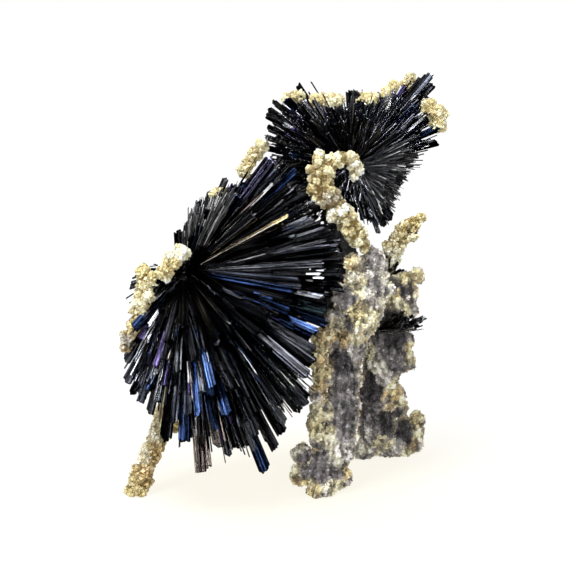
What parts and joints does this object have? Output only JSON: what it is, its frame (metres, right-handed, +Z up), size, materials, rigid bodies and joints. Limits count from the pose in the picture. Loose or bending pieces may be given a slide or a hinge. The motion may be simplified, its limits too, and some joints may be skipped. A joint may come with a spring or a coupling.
{
  "type": "stibnite with calcite specimen",
  "caption": "Mineral specimen: radiating sprays of black stibnite blades on felted columns crusted with cream calcite, free-standing on flat feet.",
  "frame": {"origin": "middle of the specimen's plan, on the surface it stands on", "axes": "+Z up, +X to the right and +Y away from a viewer who faces the sprays"},
  "size_m": [0.0686, 0.0522, 0.0876],
  "materials": {
    "stibnite": "metallic lustre",
    "matrix": "felted, matte",
    "calcite": "sugary, slightly glossy"
  },
  "bodies": {
    "root": {"stibnite_main_spray": "stibnite", "stibnite_upper_spray": "stibnite", "matrix_trunk": "matrix", "matrix_front_column": "matrix", "matrix_back_column": "matrix", "calcite_crest": "calcite", "calcite_right_finger": "calcite", "calcite_left_stalk": "calcite", "calcite_left_fingers": "calcite", "calcite_heart_cap": "calcite", "calcite_string": "calcite", "calcite_bead": "calcite", "calcite_tuft_far_left": "calcite", "calcite_tuft_left": "calcite", "calcite_tuft_top": "calcite", "calcite_tuft_right": "calcite", "calcite_tuft_peak": "calcite", "calcite_tuft_far_right": "calcite"}
  },
  "joints": []
}
